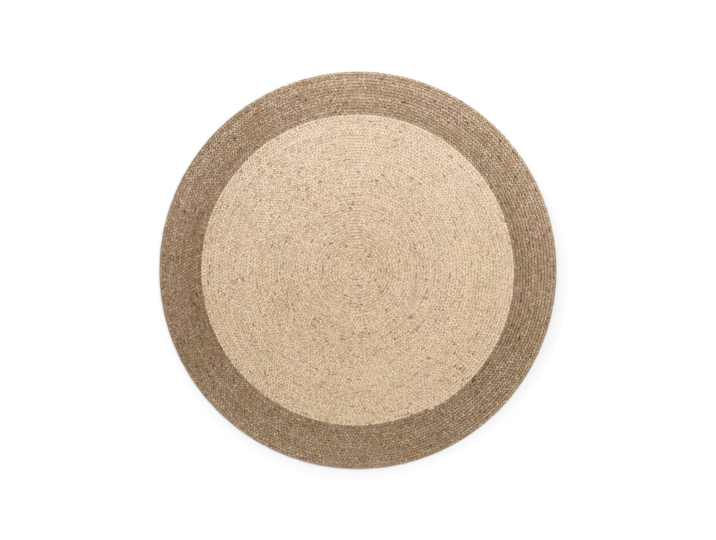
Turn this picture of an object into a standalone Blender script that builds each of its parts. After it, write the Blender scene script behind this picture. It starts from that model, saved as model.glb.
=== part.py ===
"""Round jute rug: two flat coils of three-strand plait, sewn turn to turn.

The rug lies on the plane z = 0 with its centre at the origin, in metres, +Z up. The natural plait is coiled
from the centre out, clockwise as seen from above. The taupe plait goes on where the natural one ends and makes
the border. Its tail is tapered into the last turns, so that the rim is a true circle. The coil starts a little
off the middle of that circle, and the border takes this up: its turns lie closer together on one side.
"""

import math

import bmesh
import bpy

# Driving dimensions
RUG_RADIUS = 0.750
PLAIT_THICKNESS = 0.008
GROOVE_HEIGHT = 0.0044  # where two turns meet, above the floor
NATURAL_PITCH = 0.01148  # width of one turn of the natural plait
NATURAL_TURNS = 52.0
TAUPE_TURNS = 14.5
RIM_BLEND_TURNS = 7.0  # turns over which the spiral eases into circles
TAIL_SHARE = 0.17  # share of the last turn in which the tail narrows to nothing
COIL_GAP = 0.0003  # between the two coils
START_ASIDE = (-0.0045, -0.0026)  # the coil's start, seen from the middle of the rim

# Mesh resolution
STEPS_PER_TURN = 52
ACROSS = 2  # cells from one groove over the crest to the next groove
MERGE_DISTANCE = 1e-6
TURN_ROUNDING = 1e-6  # of a turn

# Finishes: colour (linear), roughness
NATURAL_JUTE = ((0.62, 0.47, 0.31, 1.0), 0.85)
TAUPE_JUTE = ((0.34, 0.23, 0.15, 1.0), 0.85)

JOIN_STEP = 9  # steps clockwise from +X to where the natural plait ends
JOIN_ANGLE = -2.0 * math.pi * JOIN_STEP / STEPS_PER_TURN
ALL_TURNS = NATURAL_TURNS + TAUPE_TURNS
NATURAL_EDGE = NATURAL_PITCH * NATURAL_TURNS
# A plain spiral reaches the rim half a turn and half the tail's share before the plait ends
TAUPE_PITCH = (RUG_RADIUS - NATURAL_EDGE) / (TAUPE_TURNS - 0.5 - TAIL_SHARE / 2)


def smoothstep(x):
    """0 below 0, 1 above 1, and an even curve between."""
    x = min(max(x, 0.0), 1.0)
    return x * x * (3.0 - 2.0 * x)


def spiral_line(turn):
    """Radius of the groove outside a turn, on a plain spiral."""
    if turn <= NATURAL_TURNS:
        return NATURAL_PITCH * max(turn, 0.0)
    return NATURAL_EDGE + TAUPE_PITCH * (turn - NATURAL_TURNS)


def circled_line(turn):
    """The same groove where each turn is a circle that steps out only beside the tail."""
    if turn >= ALL_TURNS - 1.0:
        return RUG_RADIUS
    from_tail = turn - (ALL_TURNS - 1.0)
    whole = math.floor(from_tail)
    step = smoothstep((from_tail - whole - (1.0 - TAIL_SHARE)) / TAIL_SHARE)
    return RUG_RADIUS + TAUPE_PITCH * (whole + step)


def groove_radius(turn):
    """The spiral for most of the rug, eased into circles at the rim."""
    share = smoothstep((turn - (ALL_TURNS - 2.0 - RIM_BLEND_TURNS)) / RIM_BLEND_TURNS)
    return (1.0 - share) * spiral_line(turn) + share * circled_line(turn)


def place_on_rug(radius, angle):
    """Level position: as far aside as the start up to the border, and back at the middle by the rim."""
    aside = 1.0 - smoothstep((radius - NATURAL_EDGE) / (RUG_RADIUS - NATURAL_EDGE))
    return radius * math.cos(angle) + aside * START_ASIDE[0], radius * math.sin(angle) + aside * START_ASIDE[1]


def plait_point(turn, row, rim_turn, rim_gap):
    """Position on the coil's top: row 0 is the inner groove, 1 the crest and 2 the outer groove."""
    inner = groove_radius(turn - 1.0)
    outer = groove_radius(turn)
    if turn - 1.0 >= rim_turn - TURN_ROUNDING:
        inner -= rim_gap
    if turn >= rim_turn - TURN_ROUNDING:
        outer -= rim_gap
    width = outer - inner
    radius = inner + width * row / ACROSS
    height = GROOVE_HEIGHT
    if row == 1:
        height += (PLAIT_THICKNESS - GROOVE_HEIGHT) * min(width / NATURAL_PITCH, 1.0)
    angle = JOIN_ANGLE - 2.0 * math.pi * turn
    return *place_on_rug(radius, angle), height


def roll_up(bm, first_turn, last_turn, rim_gap):
    """A long flat strip, rolled into a coil whose turns share their grooves."""
    steps = round((last_turn - first_turn) * STEPS_PER_TURN)
    bmesh.ops.create_grid(bm, x_segments=steps, y_segments=ACROSS, size=0.5)
    for vert in bm.verts:
        turn = first_turn + round((vert.co.x + 0.5) * steps) / STEPS_PER_TURN
        row = round((vert.co.y + 0.5) * ACROSS)
        vert.co = plait_point(turn, row, last_turn - 1.0, rim_gap)
    bmesh.ops.remove_doubles(bm, verts=bm.verts, dist=MERGE_DISTANCE)


def close_underside(bm):
    """Walls from the open edges down to the floor, and one flat underside."""
    rim = [edge for edge in bm.edges if edge.is_boundary]
    walls = bmesh.ops.extrude_edge_only(bm, edges=rim)["geom"]
    for item in walls:
        if isinstance(item, bmesh.types.BMVert):
            item.co.z = 0.0
    foot = [edge for edge in bm.edges if edge.is_boundary]
    bmesh.ops.triangle_fill(bm, use_beauty=True, use_dissolve=False, edges=foot, normal=(0.0, 0.0, -1.0))
    bmesh.ops.recalc_face_normals(bm, faces=bm.faces)


def jute(name, finish):
    colour, roughness = finish
    material = bpy.data.materials.new(name)
    material.use_nodes = True
    shader = material.node_tree.nodes["Principled BSDF"]
    shader.inputs["Base Color"].default_value = colour
    shader.inputs["Roughness"].default_value = roughness
    shader.inputs["Metallic"].default_value = 0.0
    return material


def make_coil(name, first_turn, last_turn, finish, collection, rim_gap=0.0, turned=0.0):
    bm = bmesh.new()
    roll_up(bm, first_turn, last_turn, rim_gap)
    close_underside(bm)
    mesh = bpy.data.meshes.new(name)
    bm.to_mesh(mesh)
    bm.free()
    coil = bpy.data.objects.new(name, mesh)
    coil.rotation_euler.z = turned
    coil.data.materials.append(jute(name + "_jute", finish))
    collection.objects.link(coil)
    return coil


def main():
    for old in list(bpy.data.objects):
        bpy.data.objects.remove(old)
    rug = bpy.data.collections.new("round_jute_rug")
    bpy.context.scene.collection.children.link(rug)
    make_coil("natural_coil", 0.0, NATURAL_TURNS, NATURAL_JUTE, rug, rim_gap=COIL_GAP)
    # The taupe plait starts a gap's width after the end of the natural one, so it is turned by that much
    clear_angle = COIL_GAP / groove_radius(NATURAL_TURNS - 1.0)
    make_coil("taupe_coil", NATURAL_TURNS, ALL_TURNS, TAUPE_JUTE, rug, turned=-clear_angle)


main()
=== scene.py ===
# %% [markdown]
# A round jute rug, built the way it is made: jute fibre is twisted into strands, three strands are plaited
# into a flat band, and the band is coiled on a table and sewn edge to edge until it is a rug. The centre is
# natural cream jute and the border is the same plait in taupe.
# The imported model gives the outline, the thickness and the place of the two coils. This script dresses them.

# %% Load the frame
import math

import bmesh
import bpy
import numpy as np
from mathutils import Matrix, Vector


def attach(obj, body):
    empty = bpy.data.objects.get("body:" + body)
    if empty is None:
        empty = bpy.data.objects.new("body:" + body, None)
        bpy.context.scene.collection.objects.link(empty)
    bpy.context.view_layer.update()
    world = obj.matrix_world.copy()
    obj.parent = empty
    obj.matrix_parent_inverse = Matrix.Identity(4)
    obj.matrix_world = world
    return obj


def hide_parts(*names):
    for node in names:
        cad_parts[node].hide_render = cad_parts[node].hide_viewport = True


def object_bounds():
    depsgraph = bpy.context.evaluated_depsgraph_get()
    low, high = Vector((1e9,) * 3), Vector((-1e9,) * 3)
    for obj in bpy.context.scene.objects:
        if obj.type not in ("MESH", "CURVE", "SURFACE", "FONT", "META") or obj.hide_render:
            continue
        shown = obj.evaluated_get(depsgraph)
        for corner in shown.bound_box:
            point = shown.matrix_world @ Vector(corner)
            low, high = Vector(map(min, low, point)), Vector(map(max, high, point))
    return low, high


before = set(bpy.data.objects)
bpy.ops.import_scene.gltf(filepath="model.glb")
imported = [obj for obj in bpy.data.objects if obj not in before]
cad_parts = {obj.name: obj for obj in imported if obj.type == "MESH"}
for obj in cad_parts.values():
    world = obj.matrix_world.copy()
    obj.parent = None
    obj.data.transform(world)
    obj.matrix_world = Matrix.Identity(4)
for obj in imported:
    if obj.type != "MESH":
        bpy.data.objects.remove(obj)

cad_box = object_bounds()
print("box of the frame:", cad_box)

# %% [markdown]
# The coil has a simple law: each full turn moves the groove between two rows of plait one plait's width
# outwards. We take the sizes of the rug from the frame and repeat the law that the frame was built with, so
# that every row of the detailed plait lies on its ridge. Near the rim the spiral eases into circles, because
# a maker thins the tail of the plait and tucks it in, and the rug comes out round. The coil starts a little off
# the middle of the rim, and the border's turns take this up by lying closer together on one side.

# %% The coil's law
low, high = (np.array(corner) for corner in cad_box)
RUG_RADIUS = float(high[0] - low[0]) / 2
THICKNESS = float(high[2] - low[2])
NATURAL_TURNS = 52.0
TAUPE_TURNS = 14.5
ALL_TURNS = NATURAL_TURNS + TAUPE_TURNS
NATURAL_PITCH = 0.01148  # width of one turn of the natural plait
NATURAL_EDGE = NATURAL_PITCH * NATURAL_TURNS
TAIL_SHARE = 0.17  # share of the last turn in which the tail narrows to nothing
# A plain spiral reaches the rim half a turn and half the tail's share before the plait ends
TAUPE_PITCH = (RUG_RADIUS - NATURAL_EDGE) / (TAUPE_TURNS - 0.5 - TAIL_SHARE / 2)
RIM_BLEND_TURNS = 7.0  # turns over which the spiral eases into circles
STEPS_PER_TURN = 52  # of the frame's coils
JOIN_STEP = 9  # steps clockwise from +X to where the natural plait ends
JOIN_ANGLE = -2.0 * math.pi * JOIN_STEP / STEPS_PER_TURN
START_ASIDE = (-0.0045, -0.0026)  # the coil's start, seen from the middle of the rim


def smoothstep(x):
    """0 below 0, 1 above 1, and an even curve between."""
    x = np.clip(x, 0.0, 1.0)
    return x * x * (3.0 - 2.0 * x)


def groove_radius(turn):
    """Radius of the groove outside each turn, for an array of turns counted from the centre."""
    turn = np.asarray(turn, float)
    spiral = np.where(
        turn <= NATURAL_TURNS,
        NATURAL_PITCH * np.maximum(turn, 0.0),
        NATURAL_EDGE + TAUPE_PITCH * (turn - NATURAL_TURNS),
    )
    from_tail = turn - (ALL_TURNS - 1.0)
    whole = np.floor(from_tail)
    step = smoothstep((from_tail - whole - (1.0 - TAIL_SHARE)) / TAIL_SHARE)
    circles = np.where(from_tail >= 0.0, RUG_RADIUS, RUG_RADIUS + TAUPE_PITCH * (whole + step))
    share = smoothstep((turn - (ALL_TURNS - 2.0 - RIM_BLEND_TURNS)) / RIM_BLEND_TURNS)
    return (1.0 - share) * spiral + share * circles


def place_on_rug(radius, angle):
    """Level places: as far aside as the coil's start up to the border, and back at the middle by the rim."""
    aside = 1.0 - smoothstep((radius - NATURAL_EDGE) / (RUG_RADIUS - NATURAL_EDGE))
    return np.stack([radius * np.cos(angle) + aside * START_ASIDE[0], radius * np.sin(angle) + aside * START_ASIDE[1]])


print("rug radius", RUG_RADIUS, "taupe pitch", round(TAUPE_PITCH, 5))

# %% [markdown]
# Stitches are counted along the plait, so we need the length of plait laid down by each turn. Summing short
# steps of the spiral gives a table of turn against length, which we read both ways. Then we mark where every
# stitch ends. A plaiter never pulls evenly, so the stitches grow and shrink a little along the plait.

# %% Length of plait along the coil
STITCH = 0.0121  # from one strand's crossing to the next one's, along one side of the plait
TABLE_ROWS = 60001
PULL = 0.09  # spread of the stitch length, as a share
PULL_SPAN = 6  # stitches from one change of pull to the next
turn_table = np.linspace(0.0, ALL_TURNS, TABLE_ROWS)
middle_table = (groove_radius(turn_table) + groove_radius(turn_table - 1.0)) / 2
length_steps = 2 * np.pi * (middle_table[1:] + middle_table[:-1]) / 2 * np.diff(turn_table)
length_table = np.concatenate([[0.0], np.cumsum(length_steps)])
natural_length = float(np.interp(NATURAL_TURNS, turn_table, length_table))
total_length = float(length_table[-1])
natural_stitches = round(natural_length / STITCH)
total_stitches = math.floor(total_length / STITCH)
rng = np.random.default_rng(24)


def hand_values(most, *shape):
    """Random values with a spread of 1, as a hand's unevenness is, and none further than most from 0."""
    return rng.normal(0.0, 1.0, shape).clip(-most, most)


def uneven_steps(count, length):
    """Where count stitches end along a length, with the pull of the plaiting hand changing slowly."""
    knots = PULL * hand_values(2.0, count // PULL_SPAN + 2)
    pull = np.interp(np.arange(count), np.arange(len(knots)) * PULL_SPAN, knots)
    ends = np.cumsum(1.0 + pull)
    return ends * length / ends[-1]


natural_ends = uneven_steps(natural_stitches, natural_length)
taupe_ends = uneven_steps(total_stitches - natural_stitches, total_length - natural_length)
stitch_ends = np.concatenate([[0.0], natural_ends, natural_length + taupe_ends])
print("natural plait", round(natural_length, 1), "m, taupe plait", round(total_length - natural_length, 1), "m")
print("stitches along the plait:", natural_stitches, "natural,", total_stitches - natural_stitches, "taupe")

# %% [markdown]
# A flat three-strand plait shows two columns of lozenges, one at each side. A strand comes up over the edge,
# lies across its half of the plait at a slant, and dives under the strand that comes from the other side, so
# the two columns are half a stitch apart and meet in a zigzag. On the underside the slant is the other way.
# We could sweep three round strands, but most of their surface would be hidden inside the plait. One closed
# skin whose grid lines run along the strands shows the same crossings on both faces with far fewer faces.
# This table is the skin's section: its stations round the plait, from the inner edge over the top to the
# outer edge and back underneath.

# %% The plait's section
LINES = 4  # grid lines for each stitch
# station: place across (-1 inner edge, 1 outer edge), height share, depth of the groove between strands, face
SECTION = (
    (-1.00, 0.48, -0.16, "edge"),
    (-0.84, 0.86, 0.17, "top"),
    (-0.47, 1.00, 0.22, "top"),
    (0.00, 0.72, 0.00, "middle"),
    (0.47, 1.00, 0.22, "top"),
    (0.84, 0.86, 0.17, "top"),
    (1.00, 0.48, -0.16, "edge"),
    (0.52, 0.00, 0.20, "under"),
    (-0.52, 0.00, 0.20, "under"),
    (-1.00, 0.48, -0.16, "edge"),
)
CELLS = len(SECTION) - 1
ACROSS, HEIGHT, GROOVE = (np.array([row[k] for row in SECTION]) for k in range(3))
IS_MIDDLE, IS_EDGE, IS_UNDER = (np.array([row[3] == part for row in SECTION]) for part in ("middle", "edge", "under"))
ZIGZAG = 0.32  # how far the middle line swings to each side, in half widths
LEAN = 1.5  # stitches that a strand would move on by in crossing the plait's whole width
SLANT = LEAN * STITCH / NATURAL_PITCH  # length along the plait for each unit across it
CURVE = 1.9  # a strand turns in steeply from the edge and then flattens towards the middle
# roundness of a strand, from its rear edge forwards: where it crosses its half, and where it rounds the edge
CROWN = np.array([[0.0, 0.92, 1.00, 0.66], [0.0, 0.35, 0.86, 1.00]])
print("stations round the plait:", CELLS, "slant", round(math.degrees(math.atan(1 / SLANT)), 1), "degrees")

# %% [markdown]
# Hand plaiting is never even. Each stitch gets its own height, fullness and place from one seeded generator.
# Each of the three strands also grows thicker and thinner as fibre is fed into it, and where it is thick it
# pushes its neighbours apart. The rows wander a little together, as sewn rows do, but not at the rim.

# %% Unevenness of hand work
SIDES = 2
STRANDS = 3
DRAWN = total_stitches + 16  # stitches that get random values, a few more than the plait has
FEED_SPAN = 24  # stitches over which newly fed fibre makes a strand thicker
# Spreads in metres
LIFT = 0.00042  # of a stitch's height
SHIFT = 0.00115  # of its place along the plait
THICKER = 0.0016  # of the length that a thick strand takes from its neighbours
WANDER = 0.0009  # of the rows' slow drift
WOBBLE = 0.00028  # of the rows' quick drift
WAVE_SUM = 2.5  # usual size of a sum of waves
STILL_HEART, STILL_RIM = 0.05, 0.12  # the drift dies out within this radius, and this near to the rim
SCALLOP = 0.05  # how far a strand bulges out at the plait's edge, in half widths
stitch_lift = hand_values(2.0, SIDES, DRAWN)
stitch_shift = hand_values(2.0, SIDES, DRAWN)
stitch_tone = hand_values(2.2, SIDES, DRAWN)


def strand_of(side, stitch):
    """Each strand comes up on one side, then on the other."""
    return (stitch + 2 * (1 - side)) % STRANDS


fed = np.cumsum(rng.normal(0.0, 1.0, (STRANDS, DRAWN + FEED_SPAN)), axis=1)
fed = (fed[:, FEED_SPAN:] - fed[:, :-FEED_SPAN]) / math.sqrt(FEED_SPAN)
thickness = np.stack([fed[strand_of(side, np.arange(DRAWN)), np.arange(DRAWN)] for side in range(SIDES)])
stitch_shift += THICKER / SHIFT / 2 * (np.roll(thickness, 1, axis=1) - thickness).clip(-2.5, 2.5)


def random_waves(count, rounds, steepness):
    """Waves as (waves in a round, radians for a metre of radius, phase, strength)."""
    return [
        (rng.integers(*rounds), rng.uniform(*steepness), rng.uniform(0, 2 * np.pi), rng.uniform(0.3, 1.0))
        for _ in range(count)
    ]


slow_waves = random_waves(14, (2, 15), (5, 60))
quick_waves = random_waves(12, (30, 120), (150, 450))


def wander(radius, angle):
    """A sideways drift of the rows in metres: neighbours share it, so that no gap opens between them."""
    slow, quick = (
        sum(a * np.sin(n * angle + k * radius + p) for n, k, p, a in waves) for waves in (slow_waves, quick_waves)
    )
    off_heart, off_rim = smoothstep(radius / STILL_HEART), smoothstep((RUG_RADIUS - radius) / STILL_RIM)
    return off_heart * (WANDER * slow / WAVE_SUM * off_rim + WOBBLE * quick / WAVE_SUM)


print("waves in the rows:", len(slow_waves), "slow and", len(quick_waves), "quick")

# %% [markdown]
# One function makes a length of plait. It starts as a flat grid from bmesh, many lines long and as wide as the
# section has stations. Its points are then moved to their stations round the plait and along the spiral. The
# grid's two long sides meet at the inner edge and are merged, and the two ends are capped, so that each length
# is one closed skin.

# %% A length of plait
RIM_PROUD = 0.0008  # how far a stitch may stand out past the rim
EDGE_ZONE = 0.6  # past this place across, a strand is rounding the plait's edge


def flat_grid(name, lines):
    """A grid of lines x CELLS cells, and each point's line and station."""
    bm = bmesh.new()
    bmesh.ops.create_grid(bm, x_segments=lines, y_segments=CELLS, size=1.0)
    mesh = bpy.data.meshes.new(name)
    bm.to_mesh(mesh)
    bm.free()
    points = np.empty(len(mesh.vertices) * 3)
    mesh.vertices.foreach_get("co", points)
    points = points.reshape(-1, 3)
    line = np.rint((points[:, 0] + 1.0) / 2 * lines).astype(int)
    station = np.rint((points[:, 1] + 1.0) / 2 * CELLS).astype(int)
    return mesh, line, station


def stitch_of(line, outer):
    """The stitch that a grid line belongs to on its side, and how far across the strand it is, 0 to 1."""
    phase = (line - np.where(outer, 0, LINES // 2)) / LINES
    stitch = np.floor(phase).astype(int)
    return stitch, phase - stitch


def lay_plait(line, station):
    """Each grid point's place on the rug, and its radius and turn on the unwandered coil for the flat map."""
    across = ACROSS[station].copy()
    outer = across > 0
    side = outer.astype(int)
    stitch, phase = stitch_of(line, outer)
    stitch_at = np.clip(stitch, 0, DRAWN - 2)
    near_edge = (np.abs(across) > EDGE_ZONE).astype(int)
    crown = CROWN[near_edge, np.rint(phase * LINES).astype(int) % LINES]
    middle, under = IS_MIDDLE[station], IS_UNDER[station]
    swing = ZIGZAG * np.array([1.0, 0.0, -1.0, 0.0])[line % LINES]
    across = np.where(middle, swing, across)
    reach = np.where(middle, 1.0 - ZIGZAG, 1.0 - np.abs(across))
    along = np.interp(line / LINES, np.arange(total_stitches + 1), stitch_ends)
    turn = np.interp(along, length_table, turn_table)
    width = groove_radius(turn) - groove_radius(turn - 1.0)
    shift = stitch_shift[side, stitch_at] * (1 - phase) + stitch_shift[side, stitch_at + 1] * phase
    reach = (1.0 - ZIGZAG) * (reach / (1.0 - ZIGZAG)) ** CURVE
    lean = np.where(under, -1.0, 1.0) * SLANT * reach * width / 2
    along = along + lean + np.where(middle, 0.0, SHIFT * shift)
    turn = np.interp(along, length_table, turn_table)
    inner_groove, outer_groove = groove_radius(turn - 1.0), groove_radius(turn)
    width = outer_groove - inner_groove
    flat_radius = (inner_groove + outer_groove) / 2 + across * width / 2
    edge = IS_EDGE[station]
    bulge = np.where(edge, 1.0 + SCALLOP * crown, 1.0)
    radius = (inner_groove + outer_groove) / 2 + across * bulge * width / 2
    angle = JOIN_ANGLE - 2 * np.pi * turn
    radius = np.minimum(radius + wander(radius, angle), RUG_RADIUS + RIM_PROUD)
    fullness = np.clip(width / NATURAL_PITCH, 0.0, 1.0) ** 0.5
    lift = LIFT / THICKNESS * stitch_lift[side, stitch_at] * crown
    dip = GROOVE[station] * np.where(edge, crown, 1.0 - crown)
    height = np.where(under, dip + np.maximum(lift, 0.0), HEIGHT[station] - dip + np.where(edge | middle, 0.0, lift))
    height = THICKNESS * (0.5 + (height - 0.5) * fullness)
    place = np.stack([*place_on_rug(radius, angle), np.maximum(height, 0.0)], axis=1)
    return place, flat_radius, turn


print("the plait's skin has", 2 * CELLS * LINES, "triangles for each stitch")

# %% [markdown]
# The finish follows the strands, so every face has to know its stitch, and every point where it lies on its
# strand. The stitch's own values are stored as attributes. The "strand" map counts stitches on its first axis,
# so a whole number is a groove between two strands, and its second axis runs along the strand: even where it
# comes out in the middle of the plait, above or below, and odd where it goes round an edge.
# A second map spreads the skin out without overlaps: each length of plait is a ring, which is cut into sectors
# that lie in rows, the top face in two thirds of the square and the underside in the rest.

# %% Stitch attributes and UV maps
MIDDLE_STATION, OUTER_STATION = 3, 6  # of the section: the middle of the top, and the outer edge
TOP_SHARE = 2 / 3  # of the flat map's square, for the top face
SIDE_MARGIN, ROW_MARGIN = 0.06, 0.04  # left empty at each end and at each side of a sector, as shares
ALONG_STRAND = np.array([1.0, 0.8, 0.4, 0.0, 0.4, 0.8, 1.0, 1.5, 2.5, 3.0])  # at each station
DRIFT_STEP = 0.60  # how far apart along the plait a strand changes colour, as new fibre is fed in
DRIFT_KNOTS = 1400  # changes of colour drawn for each strand, and for the whole plait
STRAND_DRIFT = 0.6  # a strand's own change, next to the whole plait's
STRAND_OFFSET = 0.37  # the strands change at different places, this share of a step apart
drift_knots = hand_values(1.8, STRANDS + 1, DRIFT_KNOTS)
stitch_hue = rng.random((SIDES, DRAWN))
stitch_fleck = rng.random((SIDES, DRAWN))
print("a strand changes colour every", DRIFT_STEP, "m")


def slow_change(row, at):
    """Reads a row of random knots at places between them, smoothly."""
    knot = np.clip(np.floor(at).astype(int), 0, DRIFT_KNOTS - 2)
    share = smoothstep(at - knot)
    return drift_knots[row, knot] * (1 - share) + drift_knots[row, knot + 1] * share


def drift_of(stitch, side):
    """Slow change of colour along the plait, partly of each strand and partly of the whole plait."""
    strand = strand_of(side, stitch)
    at = stitch * STITCH / DRIFT_STEP
    return STRAND_DRIFT * slow_change(strand, at + strand * STRAND_OFFSET) + slow_change(STRANDS, at / 2)


def add_values(mesh, name, values):
    """Stores one value for each face."""
    layer = mesh.attributes.new(name, "FLOAT", "FACE")
    layer.data.foreach_set("value", np.ascontiguousarray(values, np.float32))


def add_map(mesh, name, places):
    """Stores a UV map, one place for each corner."""
    layer = mesh.uv_layers.new(name=name)
    layer.data.foreach_set("uv", np.ascontiguousarray(places, np.float32).ravel())


def sector_places(turn, radius, face_turn, under, reach):
    """Places on the flat map: sectors of the ring in rows."""
    inner, outer = reach
    circumference = np.pi * (inner + outer)
    # As many rows as give the map the same scale both ways
    sectors = max(1, math.ceil(math.sqrt(circumference / ((outer - inner) / TOP_SHARE))))
    sector = np.floor((face_turn % 1.0) * sectors)
    start = np.floor(face_turn) + sector / sectors
    x = (turn - start) * sectors
    y = (radius - inner) / (outer - inner)
    rows = np.where(under, (1 - TOP_SHARE) / sectors, TOP_SHARE / sectors)
    base = np.where(under, TOP_SHARE + sector * rows, sector * rows)
    x = SIDE_MARGIN + x * (1 - 2 * SIDE_MARGIN)
    y = base + rows * (ROW_MARGIN + y * (1 - 2 * ROW_MARGIN))
    return np.stack([x, y], axis=1)


def describe(mesh, line, station, flat_radius, turn):
    """Writes the stitch attributes and both UV maps on the flat grid's mesh, before it is closed."""
    points = np.empty(len(mesh.loops), int)
    mesh.loops.foreach_get("vertex_index", points)
    corners = points.reshape(-1, 4)
    face = np.repeat(np.arange(len(corners)), 4)
    face_station = station[corners].min(axis=1)
    outer = (face_station >= MIDDLE_STATION) & (face_station <= OUTER_STATION)
    under = face_station >= OUTER_STATION
    side = outer.astype(int)
    stitch, _ = stitch_of(line[corners].min(axis=1), outer)
    first = int(stitch.min())
    stitch = np.clip(stitch, 0, DRAWN - 1)
    add_values(mesh, "tone", stitch_tone[side, stitch])
    add_values(mesh, "hue", stitch_hue[side, stitch])
    add_values(mesh, "fleck", stitch_fleck[side, stitch])
    add_values(mesh, "drift", drift_of(stitch, side))
    whole, part = stitch_of(line[points], outer[face])
    add_map(mesh, "strand", np.stack([whole - first + part, ALONG_STRAND[station[points]]], axis=1))
    reach = (float(flat_radius.min()), float(flat_radius.max()))
    face_turn = turn[corners].mean(axis=1)
    add_map(mesh, "OFBake", sector_places(turn[points], flat_radius[points], face_turn[face], under[face], reach))


# %% [markdown]
# The grooves between strands are marked sharp, or smooth shading would melt the stitches into one another. Then
# the skin is closed, and each length gets its finish and its loose fibres.

# %% Close the skin and finish a length
MERGE_DISTANCE = 1e-6


def crease(mesh, line, station):
    """Marks the grooves between strands as sharp: along the middle, and across each side between two stitches."""
    ends = np.empty(len(mesh.edges) * 2, int)
    mesh.edges.foreach_get("vertices", ends)
    a, b = ends.reshape(-1, 2).T
    along_middle = IS_MIDDLE[station[a]] & IS_MIDDLE[station[b]]
    outer = (station[a] + station[b]) / 2 > MIDDLE_STATION
    on_top = (station[a] <= OUTER_STATION) & (station[b] <= OUTER_STATION) & (line[a] == line[b])
    _, phase = stitch_of(line[a], outer)
    mesh.attributes.new("sharp_edge", "BOOLEAN", "EDGE")
    mesh.attributes["sharp_edge"].data.foreach_set("value", along_middle | (on_top & (phase == 0)))


def close_skin(mesh):
    """Merges the grid's long sides, caps its ends and makes every face point outwards."""
    bm = bmesh.new()
    bm.from_mesh(mesh)
    bmesh.ops.remove_doubles(bm, verts=bm.verts, dist=MERGE_DISTANCE)
    ends = [edge for edge in bm.edges if edge.is_boundary]
    bmesh.ops.holes_fill(bm, edges=ends, sides=0)
    bmesh.ops.recalc_face_normals(bm, faces=bm.faces)
    left_open = sum(edge.is_boundary for edge in bm.edges)
    bm.to_mesh(mesh)
    bm.free()
    return left_open


def plait_length(name, first_stitch, last_stitch, finish, fibre_finish, node, slot):
    """Makes one length of plait and its loose fibres, and says how many triangles they have."""
    lines = (last_stitch - first_stitch) * LINES
    mesh, line, station = flat_grid(name, lines)
    line = line + first_stitch * LINES
    place, flat_radius, turn = lay_plait(line, station)
    mesh.vertices.foreach_set("co", place.astype(np.float32).ravel())
    describe(mesh, line, station, flat_radius, turn)
    crease(mesh, line, station)
    left_open = close_skin(mesh)
    mesh.materials.append(finish)
    plait = bpy.data.objects.new(name, mesh)
    bpy.context.scene.collection.objects.link(plait)
    fuzz = stray_fibres(name.replace("plait", "fuzz"), first_stitch, last_stitch, fibre_finish)
    for piece in (plait, fuzz):
        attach(piece, "root")
        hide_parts(node)
    triangles = [len(piece.data.loops) - 2 * len(piece.data.polygons) for piece in (plait, fuzz)]
    print(name, "stitches", last_stitch - first_stitch, "triangles", triangles, "open edges", left_open)
    return sum(triangles)


# %% [markdown]
# Jute sheds. Short fibre ends work loose all over the plait and stand out from the rim, and they are what makes
# the rug look soft from close by. One fibre is a thin closed tube of three sides. An array copies it, and then
# each copy is bent in its own way: it leaves the plait, arches over and comes down again. The fibres sit on
# the coil by the same law as the stitches. Each copy has its own cell on the flat map.

# %% Stray fibres
FIBRES_PER_STITCH = 0.16
RIM_FIBRES = 700
FIBRE_RADIUS = 0.00013
FIBRE_CUTS = (-1 / 6, 1 / 6)
TAPER = 0.6  # share of its thickness that a fibre loses towards its tip
LOWEST = 0.0003  # no fibre comes nearer to the floor
# The lowest and highest of each size in metres, for fibres at the rim and for those on the rug's top
RIM_LENGTH, TOP_LENGTH = (0.004, 0.010), (0.006, 0.018)
RIM_ROOT, TOP_ROOT = (0.0025, 0.0055), 0.0062  # height where a fibre leaves the plait
RIM_ARCH, TOP_ARCH = (-0.001, 0.0015), (0.0016, 0.0032)
RIM_TIP, TOP_TIP = (0.0006, 0.0060), (0.0062, 0.0088)  # height of its tip
RIM_PLACE, TOP_PLACE = 0.88, (-0.8, 0.8)  # place across the plait
RIM_HEADING, TOP_HEADING = (-1.2, 1.2), (-0.9, 0.9)  # turned from straight out, and from along the plait, radians
BEND = (-0.35, 0.35)  # sideways, as a share of the length
fibre_rng = np.random.default_rng(5)


def one_fibre(name):
    """A straight tube, one unit long and one in radius, with its sides laid out flat on the map."""
    bm = bmesh.new()
    bmesh.ops.create_cone(bm, cap_ends=True, segments=3, radius1=1.0, radius2=1.0, depth=1.0)
    for cut in FIBRE_CUTS:
        everything = bm.verts[:] + bm.edges[:] + bm.faces[:]
        bmesh.ops.bisect_plane(bm, geom=everything, plane_co=(0, 0, cut), plane_no=(0, 0, 1))
    flat = bm.loops.layers.uv.new("OFBake")
    for face in bm.faces:
        middle = face.calc_center_median()
        facing = math.atan2(middle.y, middle.x) % (2 * math.pi)
        for loop in face.loops:
            x, y, z = loop.vert.co
            if len(face.verts) == 3:
                loop[flat].uv = (0.5 + 0.04 * x, (0.05 if z < 0 else 0.95) + 0.03 * y)
            else:
                turned = (math.atan2(y, x) - facing + math.pi) % (2 * math.pi) - math.pi
                loop[flat].uv = (0.1 + 0.8 * (facing + turned) / (2 * math.pi), 0.5 + 0.76 * z)
    mesh = bpy.data.meshes.new(name)
    bm.to_mesh(mesh)
    bm.free()
    return mesh


def copies_of(mesh, count, name):
    """The mesh repeated by an array, with the copies all in one mesh, in order."""
    seed = bpy.data.objects.new(name, mesh)
    bpy.context.scene.collection.objects.link(seed)
    array = seed.modifiers.new("copies", "ARRAY")
    array.count = count
    array.use_relative_offset = False
    copied = bpy.data.meshes.new_from_object(seed.evaluated_get(bpy.context.evaluated_depsgraph_get()))
    bpy.data.objects.remove(seed)
    copied.name = name
    return copied


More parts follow.
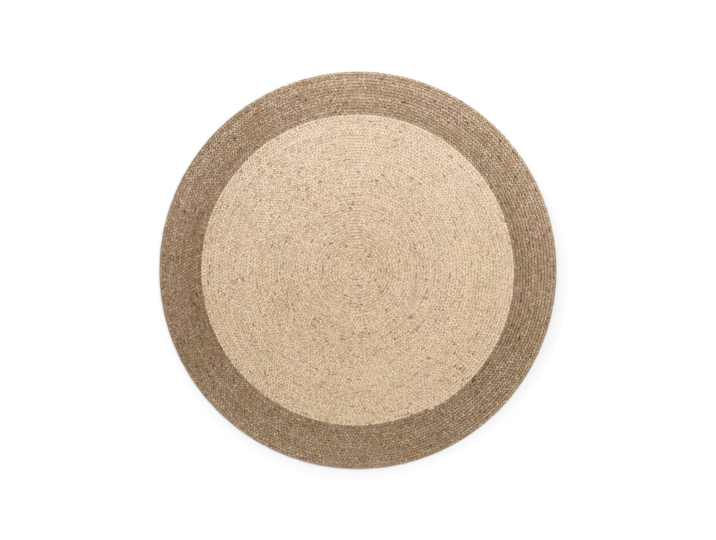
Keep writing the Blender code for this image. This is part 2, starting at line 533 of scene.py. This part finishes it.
def on_the_coil(along, across):
    """The level place of points at these lengths along the plait and shares across it, and their angles."""
    turn = np.interp(along, length_table, turn_table)
    inner, outer = groove_radius(turn - 1.0), groove_radius(turn)
    angle = JOIN_ANGLE - 2 * np.pi * turn
    radius = (inner + outer) / 2 + across * (outer - inner) / 2
    return radius + wander(radius, angle), angle


def stray_fibres(name, first_stitch, last_stitch, finish):
    """Loose fibres over a length of plait. The length that ends at the rim has the rim's fibres too."""
    at_rim = RIM_FIBRES if last_stitch == total_stitches else 0
    count = round((last_stitch - first_stitch) * FIBRES_PER_STITCH) + at_rim
    rim = np.arange(count) >= count - at_rim

    def pick(lowest, highest):
        return fibre_rng.uniform(lowest, highest, count)

    last_round = 2 * np.pi * (RUG_RADIUS - TAUPE_PITCH / 2)
    along = np.where(rim, total_length - pick(0, last_round), pick(stitch_ends[first_stitch], stitch_ends[last_stitch]))
    radius, angle = on_the_coil(along, np.where(rim, RIM_PLACE, pick(*TOP_PLACE)))
    heading = angle + np.where(rim, pick(*RIM_HEADING), np.pi / 2 + pick(*TOP_HEADING))
    heading += np.where(rim, 0.0, np.pi * fibre_rng.integers(0, 2, count))
    length = np.where(rim, pick(*RIM_LENGTH), pick(*TOP_LENGTH))
    start = np.where(rim, pick(*RIM_ROOT), TOP_ROOT)
    arch = np.where(rim, pick(*RIM_ARCH), pick(*TOP_ARCH))
    end = np.where(rim, pick(*RIM_TIP), pick(*TOP_TIP))
    bend = pick(*BEND) * length

    mesh = copies_of(one_fibre(name), count, name)
    points = np.empty(len(mesh.vertices) * 3)
    mesh.vertices.foreach_get("co", points)
    side, up, t = points.reshape(count, -1, 3).transpose(2, 0, 1)
    t = t + 0.5
    thin = FIBRE_RADIUS * (1.0 - TAPER * t)
    ahead = np.stack([np.cos(heading), np.sin(heading)])[:, :, None]
    beside = np.stack([-ahead[1], ahead[0]])
    root = place_on_rug(radius, angle)[:, :, None]
    level = root + ahead * length[:, None] * t + beside * (bend[:, None] * t**2 + side * thin)
    height = start[:, None] * (1 - t) + end[:, None] * t + 4 * arch[:, None] * t * (1 - t) + up * thin
    place = np.concatenate([level, np.maximum(height, LOWEST)[None]])
    mesh.vertices.foreach_set("co", place.transpose(1, 2, 0).astype(np.float32).ravel())

    columns = math.ceil(math.sqrt(count))
    cell = np.arange(count)
    flat = np.empty(len(mesh.loops) * 2)
    mesh.uv_layers["OFBake"].data.foreach_get("uv", flat)
    corner = np.stack([cell % columns, cell // columns], axis=1)[:, None, :]
    flat = (corner + flat.reshape(count, -1, 2)) / columns
    mesh.uv_layers["OFBake"].data.foreach_set("uv", flat.astype(np.float32).ravel())
    add_values(mesh, "tone", np.repeat(fibre_rng.normal(0.0, 1.0, count), len(mesh.polygons) // count))
    mesh.materials.append(finish)
    fuzz = bpy.data.objects.new(name, mesh)
    bpy.context.scene.collection.objects.link(fuzz)
    return fuzz


print("about", round(total_stitches * FIBRES_PER_STITCH) + RIM_FIBRES, "stray fibres")

# %% [markdown]
# Jute is dry bast fibre: it scatters light softly and hardly shines. Its colours, from the painted shade in a groove to
# a bleached fibre end, all lie on one line from dark brown to cream, so both dye lots can share one colour ramp
# that is read with a lightness. The finish adds that lightness up from the dye lot's level, the stitch's own
# value, the slow drift of its strand, fine streaks along the fibres, a painted highlight on each crown, the painted
# shade of the grooves, and painted light and shade across the rug.

# %% Jute finish
SHADES = 16
EXPOSURE = 1.12  # how much light a white sheet on the floor sends back
LIGHTEST = 0.93


def linear(value):
    value = min(max(value, 0.0), 1.0)
    return value / 12.92 if value <= 0.04045 else ((value + 0.055) / 1.055) ** 2.4


def shade(lightness):
    """The linear colour of jute whose green, as seen, has this lightness. The palest fibre has the least colour."""
    lightness = min(lightness, LIGHTEST)
    pale = max(lightness - 0.84, 0.0)
    seen = (lightness + (41 - 21 * lightness - 20 * pale) / 255, lightness, lightness - (32.5 - 40 * pale) / 255)
    return tuple(linear(value) / EXPOSURE for value in seen)


JUTE_RAMP = [(k / (SHADES - 1), shade(k / (SHADES - 1))) for k in range(SHADES)]


class Finish:
    """A short way to write a material's nodes: each call adds one node and gives back its result."""

    def __init__(self, name):
        self.material = bpy.data.materials.new(name)
        self.material.use_nodes = True
        self.nodes, self.links = self.material.node_tree.nodes, self.material.node_tree.links
        self.shader = self.nodes["Principled BSDF"]

    def put(self, socket, value):
        """Links a result to a socket, or sets the socket to a plain value."""
        if isinstance(value, bpy.types.NodeSocket):
            self.links.new(value, socket)
        else:
            socket.default_value = value

    def add(self, kind, output=0, settings=(), **values):
        """Any node: its kind, the output to give back, its settings, and values for its sockets by name."""
        node = self.nodes.new("ShaderNode" + kind)
        for key, value in dict(settings).items():
            setattr(node, key, value)
        for key, value in values.items():
            self.put(node.inputs[key.replace("_", " ")], value)
        return node.outputs[output]

    def maths(self, operation, *values):
        node = self.nodes.new("ShaderNodeMath")
        node.operation = operation
        for socket, value in zip(node.inputs, values):
            self.put(socket, value)
        return node.outputs[0]

    def total(self, *terms):
        """Adds up (factor, value) pairs."""
        result = 0.0
        for factor, value in terms:
            result = self.maths("MULTIPLY_ADD", value, factor, result)
        return result

    def ease(self, value, low, high):
        """0 below low, 1 above high, smooth between."""
        return self.add("MapRange", settings={"interpolation_type": "SMOOTHSTEP"}, Value=value, From_Min=low,
                        From_Max=high)

    def along_axis(self, place, x, y):
        """How far a place lies along a level direction."""
        result = self.add("VectorMath", "Value", {"operation": "DOT_PRODUCT"}, Vector=place)
        result.node.inputs[1].default_value = (x, y, 0.0)
        return result

    def ramp(self, value, colours):
        """Reads a colour between (place, colour) pairs."""
        node = self.nodes.new("ShaderNodeValToRGB")
        points = node.color_ramp.elements
        while len(points) < len(colours):
            points.new(0.5)
        for point, (where, colour) in zip(points, colours):
            point.position = where
            point.color = (*colour, 1.0)
        self.links.new(value, node.inputs["Fac"])
        return node.outputs["Color"]

    def times(self, colour, other):
        """Multiplies two colours."""
        node = self.nodes.new("ShaderNodeMix")
        node.data_type, node.blend_type = "RGBA", "MULTIPLY"
        node.inputs[0].default_value = 1.0
        self.links.new(colour, node.inputs[6])
        self.links.new(other, node.inputs[7])
        return node.outputs[2]

    def stored(self, name):
        """Reads a value that was stored for each face."""
        return self.add("Attribute", "Fac", {"attribute_name": name})


# %% [markdown]
# The stitches' own look is worked out from where a point lies on its strand. A painted highlight makes a strand
# lightest along its crown. Painted shade darkens it towards the groove beside it, towards the groove between two
# rows of plait, and most of all in the hole where three strands meet. Fibres run along it as fine and coarse
# streaks, and a few stitches carry a fleck of dark bark. Over the whole rug, painted light and shade also change
# the lightness a little from one side to the other.

# %% The finish of a dye lot
TOP, RIGHT, LEFT = (0.0, 1.0), (0.98, 0.17), (-0.98, -0.17)  # level directions, with the rug seen from above
PAINTED_SHADE_SIDE, PAINTED_LIGHT_SIDE = (-0.97, 0.24), (0.97, -0.24)  # sides towards which painted shade and painted light across the rug grow, in that order
HEART = (0.08, 0.38)  # radii between which the middle of the coil gives way to the rest: the middle has less painted shade in its grooves and holes, more painted shade between its rows, and bundles that vary less
RIM_SHADE = (0.009, 0.003)  # distances from the rim between which the painted shade of the last row's groove weakens
TWIST = 0.22  # how far the fibres wind across the strand on their way along it
FIBRE_SEED = 40.0  # keeps the fibres of two stitches apart in the noise
# Most stitches are plain. A few are orange, pinkish, or a bleached greyish white.
HUES = ((0.0, (1.0, 0.90, 0.78)), (0.06, (1.0, 1.0, 1.0)), (0.76, (1.0, 0.99, 1.0)), (0.88, (1.0, 0.97, 1.02)),
        (1.0, (0.96, 1.0, 1.08)))
print("jute in", len(JUTE_RAMP), "shades and", len(HUES), "hues")


def jute(name, level, spread, bundle, drift, crown_highlight, groove_shade, row_shade, hole_shade, fleck_share, ring, painted_side_light,
         red, yellow, row_shade_by_side):
    """The finish of one dye lot. Lightnesses are shares of full white.

    level is the lot's lightness, and rise the painted highlight that a strand's crown adds to it. spread, bundle and
    drift are how much single stitches, bundles of fibre and the slow change along the plait vary. The three shades
    paint shade into the grooves between strands, those between rows, and the holes. fleck_share is the share of flecked
    stitches. ring is two radii and what the lightness gains between them. fade is painted light and shade across the
    rug: what the
    lightness gains towards the top, loses towards PAINTED_SHADE_SIDE and gains towards PAINTED_LIGHT_SIDE. red and
    yellow tint the lot:
    each is a value, and how it changes towards the top. gape is how strong the painted shade between rows is:
    everywhere, from where on it grows towards the right, and how much more it grows towards the left.
    """
    f = Finish(name)
    split = f.nodes.new("ShaderNodeSeparateXYZ")
    f.links.new(f.add("UVMap", "UV", {"uv_map": "strand"}), split.inputs[0])
    count, along = split.outputs[0], split.outputs[1]
    tone, hue = f.stored("tone"), f.stored("hue")
    place = f.add("TexCoord", "Object")

    def fibres(across_scale, along_scale, detail):
        """Noise drawn out along the strand, different for each stitch."""
        twisted = f.maths("MULTIPLY_ADD", along, TWIST, count)
        at = f.add("CombineXYZ", X=f.maths("MULTIPLY", twisted, across_scale),
                   Y=f.maths("MULTIPLY", along, along_scale), Z=f.maths("MULTIPLY", tone, FIBRE_SEED))
        return f.maths("SUBTRACT", f.add("TexNoise", "Fac", Vector=at, Scale=1.0, Detail=detail, Roughness=0.6), 0.5)

    fine = fibres(13.0, 1.5, 2.0)
    coarse = fibres(3.4, 1.7, 3.0)
    radius = f.add("VectorMath", "Value", {"operation": "LENGTH"}, Vector=place)
    heart = f.maths("SUBTRACT", 1.0, f.ease(radius, *HEART))
    bundles = f.maths("MULTIPLY", fibres(1.7, 2.6, 1.0), f.total((1.0, 1.0), (-0.3, heart)))

    # over is 0 in the middle of the plait and 1 at its edge; phase and length run from -1 to 1 over the stitch
    over = f.maths("PINGPONG", along, 1.0)
    phase = f.total((2.0, f.maths("FRACT", count)), (-1.0, 1.0))
    length = f.total((2.0, over), (-1.0, 1.0))
    across = f.maths("MAXIMUM", f.total((1.0, f.maths("ABSOLUTE", phase)), (0.50, coarse)), 0.0)
    lengthwise = f.maths("ABSOLUTE", length)

    # Painted shade for the grooves between rows, between strands, and the holes where three strands meet
    # How strong the painted shade between rows is: it grows towards the right, towards the left by the lot's share, and
    # near the middle, and weakens at the rim
    row_shade_amount = f.total((1.0, row_shade_by_side[0]), (1.0, f.ease(f.along_axis(place, *RIGHT), row_shade_by_side[1], 0.50)),
                      (row_shade_by_side[2], f.ease(f.along_axis(place, *LEFT), 0.08, 0.42)), (0.9, heart))
    shaded = f.total((1.0, 1.0), (-0.6, f.ease(radius, *(RUG_RADIUS - inwards for inwards in RIM_SHADE))))
    row = f.maths("MULTIPLY", f.ease(f.total((1.0, over), (0.12, coarse)), 0.72, 0.98),
                  f.maths("MULTIPLY", row_shade_amount, shaded))
    strength = f.total((1.0, 0.35), (1.3, f.maths("FRACT", f.maths("MULTIPLY", hue, 7.0))), (-0.4, heart))
    groove = f.maths("MULTIPLY", f.ease(across, 0.66, 1.0), strength)
    corner = f.total((-1.0, f.maths("MULTIPLY", phase, length)), (0.5, coarse))
    hole = f.maths("MULTIPLY", f.ease(corner, 0.22, 0.80), f.total((1.0, 1.0), (-0.4, heart)))
    body = f.maths("MULTIPLY", f.maths("SUBTRACT", 1.0, f.maths("POWER", across, 2.5)),
                   f.maths("SUBTRACT", 1.0, f.maths("POWER", lengthwise, 4.0)))
    body = f.maths("MAXIMUM", f.total((1.0, body), (-1.0, f.ease(corner, 0.0, 0.7))), 0.0)

    # Flecks lie in clumps, on the top face only
    on_top = f.maths("LESS_THAN", along, 1.001)
    clumps = f.ease(f.add("TexNoise", "Fac", Vector=place, Scale=16.0, Detail=1.0), 0.46, 0.66)
    flecked = f.maths("MULTIPLY", on_top, f.total((1.0, 0.5 * fleck_share), (2.0 * fleck_share, clumps)))
    fleck = f.maths("MULTIPLY", f.maths("LESS_THAN", f.stored("fleck"), flecked),
                    f.ease(f.total((0.30, f.maths("SUBTRACT", 0.46, lengthwise)), (1.0, coarse)), 0.0, 0.08))

    # All of it together is the lightness, which picks the shade; the hue and the lot's tint come on top
    patches = f.maths("SUBTRACT", f.add("TexNoise", "Fac", Vector=place, Scale=5.0, Detail=2.0), 0.5)
    # Painted here: a highlight along each crown, shade in grooves, holes and rows, light and shade across the rug
    lightness = f.total(
        (1.0, level), (0.05, patches), (ring[2], f.ease(radius, ring[0], ring[1])), (drift, f.stored("drift")),
        (spread, f.maths("MULTIPLY", tone, body)), (crown_highlight, body), (0.20, fine), (0.58, coarse), (bundle, bundles),
        (-groove_shade, groove), (-hole_shade, hole), (-row_shade, row), (-0.62, fleck),
        (painted_side_light[0], f.ease(f.along_axis(place, *TOP), -0.15, 0.50)),
        (-painted_side_light[1], f.ease(f.along_axis(place, *PAINTED_SHADE_SIDE), 0.15, 0.60)),
        (painted_side_light[2], f.ease(f.along_axis(place, *PAINTED_LIGHT_SIDE), -0.30, 0.30)),
    )
    plain = f.ramp(lightness, JUTE_RAMP)
    tinted = f.times(plain, f.ramp(f.total((1.0, hue), (0.5, coarse)), HUES))
    # The lot's tint: a little less red and less yellow towards the top
    paler = f.ease(f.along_axis(place, *TOP), -0.3, 0.7)
    redness = f.total((1.0, red[0]), (0.04, patches), (-red[1], paler))
    blueness = f.total((1.0, 1.0 - yellow[0]), (0.20, patches), (yellow[1], paler))
    tint_by_place = f.times(tinted, f.add("CombineColor", Red=redness, Green=1.0, Blue=blueness))
    f.put(f.shader.inputs["Base Color"], tint_by_place)

    relief = f.total((0.30, body), (-0.3, groove), (-0.3, hole), (0.45, fine), (0.45, coarse))
    f.put(f.shader.inputs["Normal"], f.add("Bump", Height=relief, Strength=0.6, Distance=0.001))
    f.put(f.shader.inputs["Roughness"], f.total((1.0, 0.84), (0.3, fine)))
    f.shader.inputs["Specular IOR Level"].default_value = 0.3
    f.shader.inputs["Sheen Weight"].default_value = 0.1
    f.shader.inputs["Sheen Roughness"].default_value = 0.5
    return f.material


def fibre_finish(name, level):
    """Loose fibres are bare ends: pale, a little glossy, and each its own shade from root to tip."""
    f = Finish(name)
    along = f.add("TexNoise", "Fac", Vector=f.add("TexCoord", "Object"), Scale=120.0, Detail=2.0)
    lightness = f.total((1.0, level), (0.10, f.stored("tone")), (0.25, f.maths("SUBTRACT", along, 0.5)))
    f.put(f.shader.inputs["Base Color"], f.ramp(lightness, JUTE_RAMP))
    f.put(f.shader.inputs["Normal"], f.add("Bump", Height=along, Strength=0.3, Distance=0.0003))
    f.shader.inputs["Roughness"].default_value = 0.6
    f.shader.inputs["Specular IOR Level"].default_value = 0.4
    return f.material


# %% [markdown]
# Two lots of jute make the rug: the natural one, and the same fibre dyed taupe, which is darker and has stronger
# painted shade between its rows. The numbers were found by comparing renders with the rug's photo.

# %% The two dye lots
natural_jute = jute("natural_jute", level=0.796, spread=0.078, bundle=0.40, drift=0.011, crown_highlight=0.076,
                    groove_shade=0.295, row_shade=0.18, hole_shade=0.24, fleck_share=0.022, ring=(0.20, 0.42, 0.034),
                    painted_side_light=(0.018, 0.010, 0.014), red=(1.018, 0.026), yellow=(0.038, 0.11), row_shade_by_side=(0.05, -0.10, 0.50))
taupe_jute = jute("taupe_jute", level=0.588, spread=0.070, bundle=0.36, drift=0.019, crown_highlight=0.08,
                  groove_shade=0.33, row_shade=0.37, hole_shade=0.265, fleck_share=0.02, ring=(0.62, 0.74, 0.03),
                  painted_side_light=(0.053, 0.062, 0.0), red=(1.002, 0.012), yellow=(0.010, 0.05), row_shade_by_side=(0.25, -0.25, 0.0))
natural_fibre = fibre_finish("natural_fibre", 0.86)
taupe_fibre = fibre_finish("taupe_fibre", 0.64)
print("finishes made")

# %% [markdown]
# Plait is made and sewn in lengths that one person can carry, so the coil is built as lengths too, each a
# piece of its own with its ends spliced to the next. That also keeps every mesh small enough to handle.

# %% Lay the natural plait, then the taupe border
NATURAL_LENGTHS = 4
TAUPE_LENGTHS = 3


def lay_lengths(name, first, last, count, *details):
    """Divides the stitches from first to last into lengths, lays them and counts their triangles."""
    ends = np.linspace(first, last, count + 1).round().astype(int)
    return sum(plait_length(f"{name}_{k + 1}", int(ends[k]), int(ends[k + 1]), *details) for k in range(count))


natural = lay_lengths("natural_plait", 0, natural_stitches, NATURAL_LENGTHS, natural_jute, natural_fibre,
                      "natural_coil", "natural_jute")
taupe = lay_lengths("taupe_plait", natural_stitches, total_stitches, TAUPE_LENGTHS, taupe_jute, taupe_fibre,
                    "taupe_coil", "taupe_jute")
print("triangles in all:", natural + taupe)

# %% [markdown]
# The rug is seen from straight above its middle, on a white floor. A long lens keeps the view almost parallel.
# The picture is 716 pixels wide and the rug's radius takes 198.45 of them, which sets the camera's height.
# The floor glows a little, so that it comes out white as in a product picture. The glow is weak under the rug and
# close to it, where a soft shade should stay. It is stronger on the side that the lights' shadows fall to, so that
# the shade comes out nearly even all round. A strong soft light at the upper right, a second one above the top and
# a weak one from the lower left give the stitches their relief.

# %% Floor, lights and camera
PICTURE_WIDTH = 716  # pixels
RUG_RADIUS_PIXELS = 198.45
FLOOR_HALF_WIDTH = 40.0
FLOOR_DROP = 0.0005  # keeps the floor clear of the rug's underside
SHADOW_SIDE = (-0.56, -0.83)  # the level direction that the lights' shadows fall in
metres_per_pixel = RUG_RADIUS / RUG_RADIUS_PIXELS

camera_data = bpy.data.cameras.new("camera")
camera_data.lens = 85.0
camera_data.sensor_width = 36.0
camera = bpy.data.objects.new("camera", camera_data)
camera.location.z = THICKNESS + PICTURE_WIDTH * metres_per_pixel * camera_data.lens / camera_data.sensor_width
bpy.context.scene.collection.objects.link(camera)
bpy.context.scene.camera = camera

bm = bmesh.new()
bmesh.ops.create_grid(bm, x_segments=1, y_segments=1, size=FLOOR_HALF_WIDTH)
floor_mesh = bpy.data.meshes.new("floor")
bm.to_mesh(floor_mesh)
bm.free()
floor = bpy.data.objects.new("floor", floor_mesh)
floor.location.z = -FLOOR_DROP
white = Finish("white_floor")
white.shader.inputs["Base Color"].default_value = (0.80, 0.80, 0.80, 1.0)
white.shader.inputs["Roughness"].default_value = 0.9
white.shader.inputs["Emission Color"].default_value = (1.0, 1.0, 1.0, 1.0)
place = white.add("TexCoord", "Object")
far = white.add("VectorMath", "Value", {"operation": "LENGTH"}, Vector=place)
shadowed = white.ease(white.along_axis(place, *SHADOW_SIDE), -0.6, 0.6)
glow = white.total((0.18, shadowed), (0.09, white.ease(far, 0.745, 0.795)), (0.40, white.ease(far, 0.79, 0.85)),
                   (0.40, white.ease(far, 1.2, 5.0)))
white.put(white.shader.inputs["Emission Strength"], glow)
floor_mesh.materials.append(white.material)
bpy.context.scene.collection.objects.link(floor)


def softbox(name, azimuth, elevation, distance, size, light):
    """A square soft light aimed at the rug, as strong as it takes to send this much light to the middle."""
    data = bpy.data.lights.new(name, "AREA")
    data.shape = "SQUARE"
    data.size = size
    azimuth, elevation = math.radians(azimuth), math.radians(elevation)
    data.energy = light * math.pi**2 * distance**2 / math.sin(elevation)
    lamp = bpy.data.objects.new(name, data)
    level = distance * math.cos(elevation)
    lamp.location = (level * math.cos(azimuth), level * math.sin(azimuth), distance * math.sin(elevation))
    lamp.rotation_euler = (-lamp.location).to_track_quat("-Z", "Y").to_euler()
    bpy.context.scene.collection.objects.link(lamp)


softbox("key_softbox", azimuth=58.0, elevation=55.0, distance=4.6, size=2.2, light=0.50 * EXPOSURE)
softbox("top_softbox", azimuth=102.0, elevation=62.0, distance=3.7, size=1.6, light=0.28 * EXPOSURE)
softbox("fill_softbox", azimuth=215.0, elevation=55.0, distance=7.0, size=4.0, light=0.04 * EXPOSURE)
world = bpy.data.worlds.new("studio")
world.use_nodes = True
world.node_tree.nodes["Background"].inputs["Color"].default_value = (1.0, 1.0, 1.0, 1.0)
world.node_tree.nodes["Background"].inputs["Strength"].default_value = 0.20 * EXPOSURE
bpy.context.scene.world = world
bpy.context.scene.view_settings.view_transform = "Standard"
print("camera", round(camera.location.z, 2), "m above the floor,", round(metres_per_pixel * 1000, 2), "mm to a pixel")
